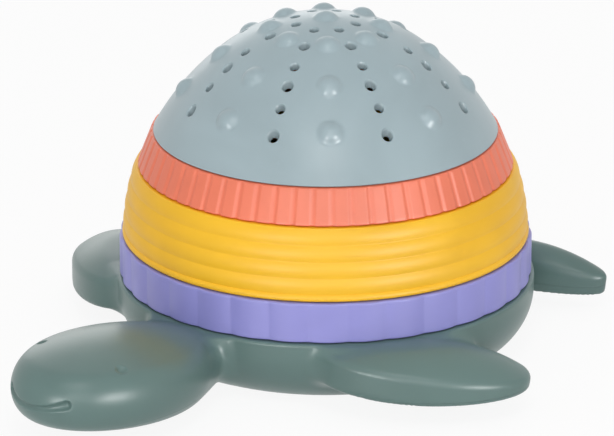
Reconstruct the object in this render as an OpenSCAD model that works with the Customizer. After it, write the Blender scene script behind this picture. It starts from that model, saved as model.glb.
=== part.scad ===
// Turtle stacking toy: a turtle base, three stacking rings and a pierced dome.
// Millimetres, Z up, the shell axis on Z, the head toward -Y, the foot on Z = 0.

/* [Heights] */
// Height of the base rim, the seat of the lower ring
base_h = 26.2; // [26:0.1:29]
// Height of the lower ring
lower_h = 15.4; // [13:0.1:18]
// Height of the middle ring
middle_h = 26.8; // [25:0.1:29]
// Height of the upper ring
upper_h = 13.2; // [12:0.1:15]
// Height of the dome above its seat
dome_h = 43.5; // [42.5:0.1:44.5]

/* [Walls and fits] */
// Wall of the rings and the dome
wall = 2.4; // [2:0.1:2.8]
// Gap between a collar and the piece over it
fit_gap = 0.4; // [0.3:0.05:0.6]
// Height of each locating collar
collar_h = 5.5; // [4:0.1:6]
// Thickness of each locating collar
collar_t = 2; // [1.6:0.1:2.4]
// Thickness of each seat under a collar
seat_t = 2.4; // [2:0.1:3]
// Easing of the rings' outer edges
edge_ease = 0.4; // [0.2:0.05:0.6]

/* [Base bowl] */
// Radius of the bowl
bowl_r = 78; // [76:0.1:80]
// Outer rounding of the bowl's foot
bowl_corner_r = 21; // [17:0.5:23]
// Rounding of the bowl's outer rim
bowl_rim_r = 1; // [0.6:0.1:1.4]
// Floor thickness of the bowl
bowl_floor = 3; // [2.4:0.1:5]
// Inner rounding of the bowl's floor
bowl_inner_r = 15; // [10:0.5:17]

/* [Head] */
// Distance of the head's middle beyond the bowl's wall
head_out = 37.4; // [36:0.1:39]
// Half length of the head
head_half_l = 43.4; // [42:0.1:43.4]
// Half width of the head
head_half_w = 29.5; // [28:0.1:31]
// Half thickness of the head
head_half_t = 15.6; // [14.6:0.1:16.4]
// Rounding of the head's edge
head_edge_r = 11.4; // [10:0.1:12.4]
// Height of the middle of the head
head_mid_z = 18.1; // [17.6:0.1:18.6]
// Nose-up lean of the head in degrees
head_lift = 4.4; // [3.4:0.1:5.4]
// Turn of the head toward the turtle's left in degrees
head_turn = 1.6; // [0:0.2:4]

/* [Neck] */
// Half width of the neck
neck_half_w = 17; // [15:0.1:19]
// Half thickness of the neck
neck_half_t = 9; // [8:0.1:9.6]
// Drop of the neck's top under the rim
neck_drop = 0.6; // [0.4:0.1:1]
// Distance the neck runs in under the bowl's wall
neck_root = 8; // [7:0.1:9]

/* [Face] */
// Distance of the eyes forward of the head's middle
eye_forward = 17.4; // [14:0.2:20]
// Distance of each eye from the head's middle line
eye_side = 19.8; // [17:0.2:21]
// Radius of an eye dimple's rim
eye_r = 2.2; // [1.6:0.1:2.6]
// Depth of an eye dimple
eye_deep = 1; // [0.6:0.1:1.4]
// Half width of the smile
smile_half_w = 13.6; // [11:0.1:15]
// Height of the smile's corners over the head's middle
smile_corner_up = 0.8; // [0:0.1:2]
// Height of the smile's middle over the head's middle
smile_mid_up = -2; // [-4:0.1:-1]
// Radius of the smile groove
smile_r = 1.6; // [1:0.1:1.8]

/* [Front flippers] */
// Angle of a front flipper's middle forward of the side in degrees
front_angle = 16.8; // [14:0.1:19]
// Distance of a front flipper's middle beyond the bowl's wall
front_out = 8.6; // [6:0.1:11]
// Half length of a front flipper
front_half_l = 32.2; // [29:0.1:36]
// Half width of a front flipper
front_half_w = 19; // [17:0.1:22]
// Backward sweep of a front flipper in degrees
front_sweep = 45.8; // [38:0.2:52]
// Tip-down lean of a front flipper in degrees
front_lean = 7.3; // [5:0.1:8]
// Crown height of a front flipper over the ground
front_top = 25.7; // [24.5:0.1:26]
// Crown radius of a front flipper
front_crown_r = 68; // [60:1:90]
// Underside height of a front flipper before its lean
front_under = 6.4; // [5.5:0.1:7]

/* [Rear flippers] */
// Angle of a rear flipper's middle behind the side in degrees
rear_angle = 66; // [64:0.1:68]
// Distance of a rear flipper's middle beyond the bowl's wall
rear_out = 10.1; // [8:0.1:11]
// Half length of a rear flipper
rear_half_l = 28; // [26:0.1:31]
// Half width of a rear flipper
rear_half_w = 8.6; // [7.6:0.1:11]
// Backward sweep of a rear flipper in degrees
rear_sweep = 21.3; // [14:0.1:30]
// Crown height of a rear flipper over the ground
rear_top = 22.9; // [22:0.1:24]
// Crown radius of a rear flipper
rear_crown_r = 48; // [44:1:60]
// Underside height of a rear flipper
rear_under = 6.5; // [6:0.1:7.5]

/* [Flipper edges] */
// Rounding of a flipper's upper edge
flipper_edge_r = 2.6; // [2:0.1:3.4]
// Rounding of a flipper's lower edge
flipper_under_r = 2; // [1.4:0.1:2.6]
// Height of the front flippers' level underside
front_floor = 8.5; // [8:0.1:9]

/* [Lower ring] */
// Step in from the bowl's wall to the lobes
lower_step = 1.1; // [0.8:0.1:1.6]
// Radius of one lobe
lobe_r = 25; // [20:0.5:32]
// Number of lobes
lobe_count = 33; // [28:1:38]

/* [Middle ring] */
// Step in from the lobes to the foot of the lip
middle_step = 1.9; // [1.6:0.1:2.4]
// Drawing in of the ring from its foot to its top
middle_taper = 4.6; // [4:0.1:5]
// Height of the lip
lip_h = 2.9; // [2.4:0.1:3.4]
// Bow of the ring's side from lip to top
band_bow = 0.9; // [0.4:0.1:1.4]
// Number of bands
band_count = 4; // [3:1:5]
// Bulge of each band
band_bulge = 0.75; // [0.4:0.05:1]
// Bulge of the lip
lip_bulge = 0.8; // [0.4:0.05:1]

/* [Upper ring] */
// Step in from the bands to the foot of the ribs
upper_step = 0.6; // [0.4:0.1:0.9]
// Drawing in of the ring from its foot to its top
upper_taper = 5; // [4.4:0.1:5.4]
// Number of ribs
rib_count = 60; // [48:1:72]
// Width of a groove between ribs
groove_w = 2.2; // [1.6:0.1:2.6]
// Depth of a groove between ribs
groove_deep = 0.5; // [0.3:0.05:0.7]

/* [Dome] */
// Step in from the ribs to the foot of the dome
dome_step = 0.7; // [0.5:0.1:1]
// Radius of the dome's side, centred beyond the axis
dome_side_r = 100; // [94:1:106]
// Angle above level at which the side meets the cap
cap_angle = 51; // [50:0.5:52]
// Flattening of the dome's inside at the top
dome_flat = 0.5; // [0.4:0.1:0.8]
// Number of bump columns, with a hole column between each two
column_count = 8; // [6:1:9]
// Angles of the bump rows above level
bump_rows = [40.6, 51.7, 70.7]; // [38:0.1:72]
// Radius of a bump at the dome's surface
bump_r = 4.4; // [4:0.1:5]
// Height of a bump
bump_h = 2.4; // [1.6:0.1:2.8]
// Angles of the large hole rows above level
large_rows = [39, 50.8, 69]; // [38:0.1:72]
// Angles of the small hole rows above level
small_rows = [45.3, 58.9, 79]; // [44:0.1:80]
// Mouth diameter of a large hole
large_d = 4.6; // [4:0.1:5]
// Mouth diameter of a small hole
small_d = 3.8; // [3.4:0.1:4.4]
// Diameter of a hole at the inside
bore_d = 2.8; // [2.2:0.1:3]

/* [Hidden] */
$fn = 96;
over = 0.5;
crossing = 0.03;
far = 200;
head_way = -90;

lower_seat = base_h;
middle_seat = lower_seat + lower_h;
upper_seat = middle_seat + middle_h;
dome_seat = upper_seat + upper_h;

// Each piece steps in from the one under it
lobe_crest_r = bowl_r - lower_step;
lip_foot_r = lobe_crest_r - middle_step;
band_top_r = lip_foot_r - middle_taper;
rib_foot_r = band_top_r - upper_step;
rib_top_r = rib_foot_r - upper_taper;
dome_foot_r = rib_top_r - dome_step;

// Lower ring: the valley between two lobes sets its bore
lobe_half = 180 / lobe_count;
lobe_mid_r = lobe_crest_r - lobe_r;
lobe_rise = sqrt(pow(lobe_r, 2) - pow(lobe_mid_r * sin(lobe_half), 2));
lower_bore_r = lobe_mid_r * cos(lobe_half) + lobe_rise - wall;

// Base: its bore is the inside of the collar that holds the lower ring
base_bore_r = lower_bore_r - fit_gap - collar_t;

// Middle ring: its bore leans with the bands
band_z = middle_seat + lip_h;
band_step = (upper_seat - band_z) / band_count;
middle_bore_r = lip_foot_r - wall;
middle_lean = -middle_taper / middle_h;

// Upper ring: its bore leans with the ribs
upper_bore_r = rib_foot_r - groove_deep - wall;
upper_lean = -upper_taper / upper_h;

// Dome: the side and the cap share a tangent, their radii differ by cap_drop
drop_a = 2 - 2 * sin(cap_angle);
drop_b = 2 * (dome_foot_r * cos(cap_angle) + (dome_h - dome_side_r) * (1 - sin(cap_angle)));
drop_c = pow(dome_foot_r, 2) + pow(dome_h, 2) - 2 * dome_h * dome_side_r;
cap_drop = (sqrt(pow(drop_b, 2) - 4 * drop_a * drop_c) - drop_b) / (2 * drop_a);
cap_r = dome_side_r - cap_drop;
cap_z = dome_h - cap_r;
side_x = cap_drop * cos(cap_angle);
side_z = cap_z - cap_drop * sin(cap_angle);
bump_ball_r = (pow(bump_r, 2) + pow(bump_h, 2)) / (2 * bump_h);
column_step = 360 / column_count;

// Head: oval in plan, the crown and the edge share a tangent
head_slim = head_half_w / head_half_l;
head_edge_x = head_half_l - head_edge_r;
head_crown_r = (pow(head_edge_x, 2) / (head_half_t - head_edge_r) + head_edge_r + head_half_t) / 2;
head_joint_x = head_edge_x * head_crown_r / (head_crown_r - head_edge_r);

// Eyes: each lies on the head's crown or on its rounded edge
eye_reach = norm([eye_forward, eye_side / head_slim]);
eye_on_crown = eye_reach < head_joint_x;
eye_off = eye_reach - (eye_on_crown ? 0 : head_edge_x);
eye_mid_z = eye_on_crown ? head_half_t - head_crown_r : 0;
eye_rise = sqrt(pow(eye_on_crown ? head_crown_r : head_edge_r, 2) - pow(eye_off, 2));
eye_place = [eye_forward, eye_side, eye_mid_z + eye_rise];
eye_lean = eye_off / eye_reach;
eye_slope = [eye_lean * eye_forward, eye_lean * eye_side / pow(head_slim, 2), eye_rise];
eye_ball_r = (pow(eye_r, 2) + pow(eye_deep, 2)) / (2 * eye_deep);

// Smile: an arc through its two corners and its middle, all on the head's rounded edge
smile_corner_x = head_front(smile_half_w, smile_corner_up);
smile_mid_x = head_front(0, smile_mid_up);
smile_bow = norm([smile_mid_x - smile_corner_x, smile_mid_up - smile_corner_up]);
smile_lean = atan2(smile_corner_up - smile_mid_up, smile_mid_x - smile_corner_x);
smile_arc_r = (pow(smile_half_w, 2) + pow(smile_bow, 2)) / (2 * smile_bow);
smile_angle = asin(smile_half_w / smile_arc_r);

function head_front(side, up) =
    let (level_x = head_edge_x + sqrt(pow(head_edge_r, 2) - pow(up, 2)))
    sqrt(pow(level_x, 2) - pow(side / head_slim, 2));

function middle_bore(up) = middle_bore_r + middle_lean * up;

function upper_bore(up) = upper_bore_r + upper_lean * up;

function band_side(i) =
    let (t = i / band_count)
    lip_foot_r - middle_taper * t + 4 * band_bow * t * (1 - t);

function dome_point(angle) =
    angle < cap_angle
    ? [dome_side_r * cos(angle) - side_x, side_z + dome_side_r * sin(angle)]
    : [cap_r * cos(angle), cap_z + cap_r * sin(angle)];

function dome_bore(z) = sqrt(pow(dome_side_r - wall, 2) - pow(z - side_z, 2)) - side_x;

// A seat with a collar on it, a gap inside the bore of the piece that sits there
module seat_section(seat_z, low_r, top_r, bore_r, bore_top_r) {
    inner_r = bore_top_r - fit_gap - collar_t;
    polygon([
        [inner_r, seat_z - seat_t],
        [low_r, seat_z - seat_t],
        [top_r, seat_z],
        [bore_r - fit_gap, seat_z],
        [bore_top_r - fit_gap, seat_z + collar_h],
        [inner_r, seat_z + collar_h]
    ]);
}

// A disc that swells an outline between two of its points
module swell_section(r0, z0, r1, z1, bulge) {
    chord = sqrt(pow(r1 - r0, 2) + pow(z1 - z0, 2));
    ball = pow(chord, 2) / (8 * bulge) + bulge / 2;
    set_back = (ball - bulge) / chord;
    intersection() {
        translate([(r0 + r1) / 2 - (z1 - z0) * set_back, (z0 + z1) / 2 - (r0 - r1) * set_back])
            circle(ball);
        translate([r1 - wall, z0])
            square([r0 + bulge, z1 - z0]);
    }
}

// Bowl outside: rounded foot, upright wall, eased rim
module bowl_outside() {
    rotate_extrude()
        intersection() {
            square([bowl_r, base_h]);
            union() {
                square([bowl_r - bowl_corner_r, base_h]);
                translate([0, bowl_corner_r])
                    square([bowl_r - bowl_rim_r, base_h]);
                translate([0, bowl_corner_r])
                    square([bowl_r, base_h - bowl_rim_r - bowl_corner_r]);
                translate([bowl_r - bowl_corner_r, bowl_corner_r])
                    circle(bowl_corner_r);
                translate([bowl_r - bowl_rim_r, base_h - bowl_rim_r])
                    circle(bowl_rim_r);
            }
        }
}

// Bowl inside: upright wall down to a rounded floor
module bowl_inside() {
    rotate_extrude()
        intersection() {
            square([base_bore_r, far]);
            union() {
                translate([0, bowl_floor])
                    square([base_bore_r - bowl_inner_r, far]);
                translate([0, bowl_floor + bowl_inner_r])
                    square([base_bore_r, far]);
                translate([base_bore_r - bowl_inner_r, bowl_floor + bowl_inner_r])
                    circle(bowl_inner_r);
            }
        }
}

// Places the head's own axes: X forward, Y to the turtle's left, Z up
module at_head() {
    rotate([0, 0, head_way + head_turn])
        translate([bowl_r + head_out, 0, head_mid_z])
            rotate([0, -head_lift, 0])
                children();
}

// Half the head's section along its middle: a crown above and below, a round edge
module head_section() {
    intersection() {
        translate([0, head_half_t - head_crown_r])
            circle(head_crown_r);
        translate([0, head_crown_r - head_half_t])
            circle(head_crown_r);
        translate([0, -head_half_t])
            square([head_joint_x, 2 * head_half_t]);
    }
    translate([head_edge_x, 0])
        circle(head_edge_r + crossing);
}

module head_form() {
    scale([1, head_slim, 1])
        rotate_extrude()
            head_section();
}

// The neck, oval in section and level, from the bowl's wall to the head's middle
module neck_form() {
    rotate([0, 0, head_way + head_turn])
        translate([bowl_r - neck_root, 0, base_h - neck_drop - neck_half_t])
            rotate([0, 90, 0])
                scale([neck_half_t / neck_half_w, 1, 1])
                    cylinder(h = neck_root + head_out, r = neck_half_w);
}

module eye_cut() {
    translate(eye_place + eye_slope / norm(eye_slope) * (eye_ball_r - eye_deep))
        sphere(eye_ball_r);
}

module smile_cut() {
    translate([smile_mid_x, 0, smile_mid_up])
        rotate([0, smile_lean, 0])
            translate([-smile_arc_r, 0, 0]) {
                rotate([0, 0, -smile_angle])
                    rotate_extrude(angle = 2 * smile_angle)
                        translate([smile_arc_r, 0])
                            circle(smile_r);
                for (way = [-1, 1])
                    rotate([0, 0, way * smile_angle])
                        translate([smile_arc_r, 0, 0])
                            sphere(smile_r);
            }
}

// Half a flipper's section from its crown down, the crown at the top of the axis
module flipper_section(half_l, crown_r, thick) {
    edge_z = sqrt(pow(crown_r - flipper_edge_r, 2) - pow(half_l - flipper_edge_r, 2)) - crown_r;
    joint_x = (half_l - flipper_edge_r) * crown_r / (crown_r - flipper_edge_r);
    intersection() {
        translate([0, -crown_r])
            circle(crown_r);
        translate([0, -thick])
            square([joint_x, thick]);
    }
    translate([half_l - flipper_edge_r, edge_z])
        circle(flipper_edge_r + crossing);
    translate([0, flipper_under_r - thick])
        square([half_l, edge_z + thick - flipper_under_r]);
    translate([0, -thick])
        square([half_l - flipper_under_r, thick / 2]);
    translate([half_l - flipper_under_r, flipper_under_r - thick])
        circle(flipper_under_r);
}

// A flipper, oval in plan, out beyond the bowl's wall, swept backward and leaning tip-down
module flipper(angle, out, top, sweep, lean, half_l, half_w, crown_r, under) {
    reach = bowl_r + out;
    translate([reach * cos(angle), reach * sin(angle), top])
        rotate([0, 0, sweep])
            rotate([0, lean, 0])
                scale([1, half_w / half_l, 1])
                    rotate_extrude()
                        flipper_section(half_l, crown_r, top - under);
}

// The front flipper is cut level underneath and stays below the rim
module left_flippers() {
    intersection() {
        flipper(-front_angle, front_out, front_top, front_sweep, front_lean,
                front_half_l, front_half_w, front_crown_r, front_under);
        translate([0, -far / 2, front_floor])
            cube([far, far, base_h - front_floor]);
    }
    flipper(rear_angle, rear_out, rear_top, rear_sweep, 0,
            rear_half_l, rear_half_w, rear_crown_r, rear_under);
}

module turtle_base() {
    color([0.42, 0.5, 0.49]) {
        difference() {
            union() {
                bowl_outside();
                difference() {
                    at_head()
                        head_form();
                    translate([0, 0, base_h])
                        cylinder(h = far, r = bowl_r);
                }
                neck_form();
                left_flippers();
                mirror([1, 0, 0])
                    left_flippers();
            }
            bowl_inside();
            at_head() {
                eye_cut();
                mirror([0, 1, 0])
                    eye_cut();
                smile_cut();
            }
        }
        rotate_extrude()
            translate([base_bore_r, base_h - seat_t])
                square([collar_t, seat_t + collar_h]);
    }
}

module lower_ring() {
    color([0.58, 0.58, 0.84]) {
        difference() {
            intersection() {
                translate([0, 0, lower_seat])
                    linear_extrude(lower_h)
                        union() {
                            circle(lower_bore_r + wall / 2);
                            for (i = [0 : lobe_count - 1])
                                rotate(head_way + i * 2 * lobe_half)
                                    translate([lobe_mid_r, 0])
                                        circle(lobe_r);
                        }
                rotate_extrude()
                    polygon([
                        [0, lower_seat],
                        [lobe_crest_r - edge_ease, lower_seat],
                        [lobe_crest_r, lower_seat + edge_ease],
                        [lobe_crest_r, middle_seat - edge_ease],
                        [lobe_crest_r - edge_ease, middle_seat],
                        [0, middle_seat]
                    ]);
            }
            translate([0, 0, lower_seat - over])
                cylinder(h = lower_h + 2 * over, r = lower_bore_r);
        }
        rotate_extrude()
            seat_section(middle_seat, lower_bore_r + wall / 2, lower_bore_r + wall / 2,
                         middle_bore(0), middle_bore(collar_h));
    }
}

module middle_ring() {
    color([0.98, 0.76, 0.22])
        rotate_extrude() {
            difference() {
                union() {
                    polygon(concat(
                        [[0, middle_seat], [lip_foot_r, middle_seat]],
                        [for (i = [0 : band_count]) [band_side(i), band_z + i * band_step]],
                        [[0, upper_seat]]
                    ));
                    swell_section(lip_foot_r, middle_seat, lip_foot_r, band_z, lip_bulge);
                    for (i = [0 : band_count - 1])
                        swell_section(band_side(i), band_z + i * band_step,
                                      band_side(i + 1), band_z + (i + 1) * band_step, band_bulge);
                }
                polygon([
                    [-over, middle_seat - over],
                    [middle_bore(-over), middle_seat - over],
                    [middle_bore(middle_h + over), upper_seat + over],
                    [-over, upper_seat + over]
                ]);
            }
            seat_section(upper_seat, middle_bore(middle_h - seat_t) + wall / 2,
                         middle_bore(middle_h) + wall / 2, upper_bore(0), upper_bore(collar_h));
        }
}

// A groove along the slope of the ribs, wider at its mouth
module groove_cut() {
    slope = atan(-upper_lean);
    translate([rib_foot_r, 0, upper_seat])
        rotate([0, -slope, 0])
            translate([0, 0, -over])
                linear_extrude(upper_h / cos(slope) + 2 * over)
                    polygon([
                        [-groove_deep, -groove_w / 4],
                        [groove_deep, -groove_w * 3 / 4],
                        [groove_deep, groove_w * 3 / 4],
                        [-groove_deep, groove_w / 4]
                    ]);
}

module upper_ring() {
    color([0.98, 0.55, 0.45]) {
        difference() {
            rotate_extrude()
                polygon([
                    [upper_bore_r, upper_seat],
                    [rib_foot_r - edge_ease, upper_seat],
                    [rib_foot_r + upper_lean * edge_ease, upper_seat + edge_ease],
                    [rib_top_r - upper_lean * edge_ease, dome_seat - edge_ease],
                    [rib_top_r - edge_ease, dome_seat],
                    [upper_bore(upper_h), dome_seat]
                ]);
            for (i = [0 : rib_count - 1])
                rotate([0, 0, head_way + (i + 0.5) * 360 / rib_count])
                    groove_cut();
        }
        rotate_extrude()
            seat_section(dome_seat, upper_bore(upper_h - seat_t) + wall / 2,
                         upper_bore(upper_h) + wall / 2, dome_bore(0), dome_bore(collar_h));
    }
}

// Half the dome's profile, its wall thinned by the inset: a side below, a cap above
module dome_profile(inset) {
    intersection() {
        translate([-side_x, side_z])
            circle(dome_side_r - inset);
        translate([-far, -far])
            square([2 * far, far + cap_z + (cap_r - inset) * sin(cap_angle)]);
    }
    translate([0, cap_z])
        circle(cap_r - inset + crossing);
}

// Half the dome's outside, with the bump on its top
module dome_outside() {
    intersection() {
        union() {
            dome_profile(0);
            translate([0, dome_h + bump_h - bump_ball_r])
                circle(bump_ball_r);
        }
        square([far, far]);
    }
}

// Half the dome's inside, carried down below its seat
module dome_inside() {
    intersection() {
        dome_profile(wall);
        translate([0, -over])
            square([far, dome_h - wall - dome_flat + over]);
    }
}

// Places the dome's outward direction on Z at an angle above level
module on_dome(turn, angle) {
    place = dome_point(angle);
    rotate([0, 0, head_way + turn])
        translate([place[0], 0, place[1]])
            rotate([0, 90 - angle, 0])
                children();
}

module hole_cut(mouth_d) {
    flare = (mouth_d - bore_d) * over / wall;
    translate([0, 0, -wall - over])
        cylinder(h = wall + 2 * over, d1 = bore_d - flare, d2 = mouth_d + flare);
}

module bump() {
    translate([0, 0, bump_h - bump_ball_r])
        sphere(bump_ball_r);
}

module shell_dome() {
    color([0.66, 0.72, 0.74])
        translate([0, 0, dome_seat])
            difference() {
                union() {
                    rotate([0, 0, column_step / 4])
                        rotate_extrude()
                            dome_outside();
                    for (i = [0 : column_count - 1], angle = bump_rows)
                        on_dome(i * column_step, angle)
                            bump();
                }
                rotate([0, 0, column_step / 4])
                    rotate_extrude()
                        dome_inside();
                for (i = [0 : column_count - 1]) {
                    for (angle = large_rows)
                        on_dome((i + 0.5) * column_step, angle)
                            hole_cut(large_d);
                    for (angle = small_rows)
                        on_dome((i + 0.5) * column_step, angle)
                            hole_cut(small_d);
                }
            }
}

turtle_base();
lower_ring();
middle_ring();
upper_ring();
shell_dome();
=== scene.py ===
from math import asin, atan2, cos, hypot, pi, radians, sin, sqrt
from typing import NamedTuple

import bmesh
import bpy
import numpy as np
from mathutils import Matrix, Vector


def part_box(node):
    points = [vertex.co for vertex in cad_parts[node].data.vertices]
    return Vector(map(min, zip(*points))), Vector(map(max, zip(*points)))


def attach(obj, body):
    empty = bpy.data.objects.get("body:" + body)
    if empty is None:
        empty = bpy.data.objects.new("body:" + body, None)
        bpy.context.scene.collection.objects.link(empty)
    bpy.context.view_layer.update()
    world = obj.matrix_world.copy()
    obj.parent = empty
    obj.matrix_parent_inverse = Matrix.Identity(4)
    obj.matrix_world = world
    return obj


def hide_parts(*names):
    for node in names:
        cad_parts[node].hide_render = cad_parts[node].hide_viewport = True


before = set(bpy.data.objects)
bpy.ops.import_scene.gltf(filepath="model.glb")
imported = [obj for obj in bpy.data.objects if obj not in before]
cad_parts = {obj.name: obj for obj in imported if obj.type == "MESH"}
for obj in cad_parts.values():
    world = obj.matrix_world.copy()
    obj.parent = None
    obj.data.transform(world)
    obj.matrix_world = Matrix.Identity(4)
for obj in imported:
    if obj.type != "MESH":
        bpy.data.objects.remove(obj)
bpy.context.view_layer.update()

bl_info = {
    "name": "Turtle Stacking Toy",
    "version": (1, 0, 0),
    "blender": (4, 5, 0),
    "location": "3D View > Sidebar > Turtle",
    "description": "Builds a moulded turtle base, three stacking rings and a pierced dome",
    "category": "Object",
}

# Way that the head points, about the stack's axis
HEAD_AXIS = -pi / 2

# Seats of the stack over the ground, in metres
BASE_RIM = 0.0262
MIDDLE_SEAT = 0.0416
UPPER_SEAT = 0.0684
DOME_SEAT = 0.0816
DOME_H = 0.0435

# Walls and fits
WALL = 0.0024
FIT_GAP = 0.0004
COLLAR_H = 0.0055
COLLAR_T = 0.002
SEAT_T = 0.0024

# Rounded edges of bores, collars and seats
BORE_EDGE_R = 0.0004
COLLAR_FOOT_R = 0.0004
COLLAR_TOP_R = 0.0006
SEAT_EDGE_R = 0.0005

# Shadow gap under the outside of each piece that sits on another: its height and how far in it runs
SEAM_H = 0.0004
SEAM_IN = 0.0013

# Bowl
BOWL_R = 0.078
BOWL_CORNER_R = 0.021
BOWL_RIM_R = 0.001
BOWL_FLOOR = 0.003
BOWL_INNER_R = 0.015
BOWL_MOUTH_R = 0.0006
COLLAR_FILLET = 0.0004

# Room kept clear over the rim for the lower ring, and the rounding of its edge
RING_ROOM_IN = 0.0004
RING_ROOM_R = 0.0003

# Head, in its own axes: forward, toward its left, up
HEAD_REACH = 0.1154
HEAD_HALF_L = 0.0434
HEAD_HALF_W = 0.0295
HEAD_HALF_T = 0.0156
HEAD_EDGE_R = 0.0114
HEAD_MID_Z = 0.0181
HEAD_LIFT = radians(4.4)
HEAD_WAY = radians(-88.4)
HEAD_SLIM = HEAD_HALF_W / HEAD_HALF_L
HEAD_EDGE_X = HEAD_HALF_L - HEAD_EDGE_R
HEAD_CROWN_R = (HEAD_EDGE_X**2 / (HEAD_HALF_T - HEAD_EDGE_R) + HEAD_EDGE_R + HEAD_HALF_T) / 2
HEAD_CROWN_SINK = HEAD_CROWN_R - HEAD_HALF_T

# Neck, level and round-cornered in section, from under the bowl's wall to the head's middle
NECK_HALF_W = 0.0175
NECK_HALF_T = 0.0092
NECK_CORNER_R = 0.006
NECK_DROP = 0.0003
NECK_ROOT = 0.008
NECK_Z = BASE_RIM - NECK_DROP - NECK_HALF_T
NECK_START = BOWL_R - NECK_ROOT

# Fillet at the nape: small at the top, and growing from a little under the rim
NAPE_LEAST_R = 0.0015
NAPE_DROP = 0.001
NAPE_GROWTH = 0.008


def head_front(side, up):
    """How far forward the head's rounded edge lies at a place on its face."""
    return sqrt((HEAD_EDGE_X + sqrt(HEAD_EDGE_R**2 - up**2)) ** 2 - (side / HEAD_SLIM) ** 2)


# Eyes: places on the head, and the depth of a dimple as a share of its radius
EYE_FORWARD = 0.0174
EYE_SIDE = 0.0198
EYE_DEEP = 0.5
EYE_EDGE_R = 0.0004

# Smile: an arc through its corners and its middle, whose groove widens toward the corners
SMILE_HALF_W = 0.0136
SMILE_CORNER_UP = 0.0008
SMILE_MID_UP = -0.002
SMILE_MID_WIDTH = 0.6
SMILE_CORNER_GAIN = 0.45
SMILE_EDGE_R = 0.0005
SMILE_CORNER_X = head_front(SMILE_HALF_W, SMILE_CORNER_UP)
SMILE_MID_X = head_front(0, SMILE_MID_UP)
SMILE_BOW = hypot(SMILE_MID_X - SMILE_CORNER_X, SMILE_MID_UP - SMILE_CORNER_UP)
SMILE_LEAN = atan2(SMILE_CORNER_UP - SMILE_MID_UP, SMILE_MID_X - SMILE_CORNER_X)
SMILE_ARC_R = (SMILE_HALF_W**2 + SMILE_BOW**2) / (2 * SMILE_BOW)
SMILE_ANGLE = asin(SMILE_HALF_W / SMILE_ARC_R)


class Flipper(NamedTuple):
    """Place and sizes of a flipper on the turtle's left. The one on its right is its mirror image."""

    place: tuple
    sweep: float
    lean: float
    tip_l: float
    root_l: float
    half_w: float
    crown_r: float
    thick: float
    floor_z: float


FRONT_FLIPPER = Flipper(
    place=(0.0829, -0.02503, 0.0257), sweep=radians(45.8), lean=radians(7.3), tip_l=0.0322,
    root_l=0.044, half_w=0.019, crown_r=0.068, thick=0.0193, floor_z=0.0085)
REAR_FLIPPER = Flipper(
    place=(0.03583, 0.08044, 0.0234), sweep=radians(21.3), lean=radians(6.5), tip_l=0.0284,
    root_l=0.028, half_w=0.0086, crown_r=0.07, thick=0.0205, floor_z=0.0065)

# Rounded edges of the flippers
FLIPPER_EDGE_R = 0.0014
FLIPPER_UNDER_R = 0.002
FLIPPER_FLOOR_R = 0.0016
FRONT_TOP_R = 0.0006

# The fillets of the neck and front flippers end a little under the rim
BLEND_DROP = 0.0003
BLEND_EDGE_R = 0.001

# Net of the base's skin: its step, its margin round the base, and how its points are moved
SKIN_STEP = 0.0013
SKIN_MARGIN = 0.003
SKIN_TURNS = 3
SETTLE_ROUNDS = 6
MOVE_MOST = 0.0015

# How far apart a slope is read, and least values that keep a distance or a slope from running away
SLOPE_REACH = 2e-5
SLOPE_LEAST = 0.2
STEEP_LEAST = 0.3
TINY = 1e-9

# How near to the rim, the flippers' edges and the face the skin is finer, and by how many cuts
RIM_DEEP = 0.0028
RIM_IN = 0.001
RIM_OUT = 0.0012
RIM_CUTS = 1
EDGE_NEAR = 0.0026
SMILE_NEAR = 0.0018
EYE_NEAR = 0.0016
FACE_CUTS = 3

# Turned meshes: points on a rounded corner, joins closer than the weld, edges sharper than the angle
CORNER_POINTS = 6
WELD = 1e-6
SHARP_ANGLE = radians(40)

# Lower ring
LOBE_COUNT = 33
LOBE_CREST_R = 0.0769
LOBE_R = 0.025
LOBE_MID_R = LOBE_CREST_R - LOBE_R
LOBE_HALF = pi / LOBE_COUNT
LOBE_VALLEY_R = LOBE_MID_R * cos(LOBE_HALF) + sqrt(LOBE_R**2 - (LOBE_MID_R * sin(LOBE_HALF)) ** 2)
LOBE_FOOT_ROUND = 0.0005
LOBE_TOP_ROUND = 0.0007
LOBE_DIVISIONS = 20
LOBE_MESH_STEP = 0.0008
LOWER_BORE_R = LOBE_VALLEY_R - WALL
LOBE_ROOT_R = LOWER_BORE_R + WALL * 0.5
BASE_BORE_R = LOWER_BORE_R - FIT_GAP - COLLAR_T

# Middle ring
LIP_FOOT_R = 0.075
LIP_H = 0.0029
LIP_BULGE = 0.0008
BAND_TOP_R = 0.0704
BAND_BOW = 0.0009
BAND_COUNT = 4
BAND_EDGE_ROUND = 0.0003
BAND_DIVISIONS = 24
BAND_AROUND = 256
BAND_MESH_STEP = 0.0003
BAND_START_SOFT = 1e-5
BAND_END_SOFT = 1e-4
BAND_Z = MIDDLE_SEAT + LIP_H
BAND_STEP = (UPPER_SEAT - BAND_Z) / BAND_COUNT
MIDDLE_BORE_R = LIP_FOOT_R - WALL
MIDDLE_LEAN = (BAND_TOP_R - LIP_FOOT_R) / (UPPER_SEAT - MIDDLE_SEAT)

# Upper ring
RIB_COUNT = 60
RIB_FOOT_R = 0.0698
RIB_TOP_R = 0.0648
RIB_FOOT_ROUND = 0.0004
RIB_TOP_ROUND = 0.0005
RIB_DIVISIONS = 16
RIB_MESH_STEP = 0.001
GROOVE_DEEP = 0.0005
UPPER_BORE_R = RIB_FOOT_R - GROOVE_DEEP - WALL
UPPER_LEAN = (RIB_TOP_R - RIB_FOOT_R) / (DOME_SEAT - UPPER_SEAT)

# A groove is flat and then runs out at these shares of its half width
GROOVE_FLAT = 0.3
GROOVE_OUT = 1.25

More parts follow.
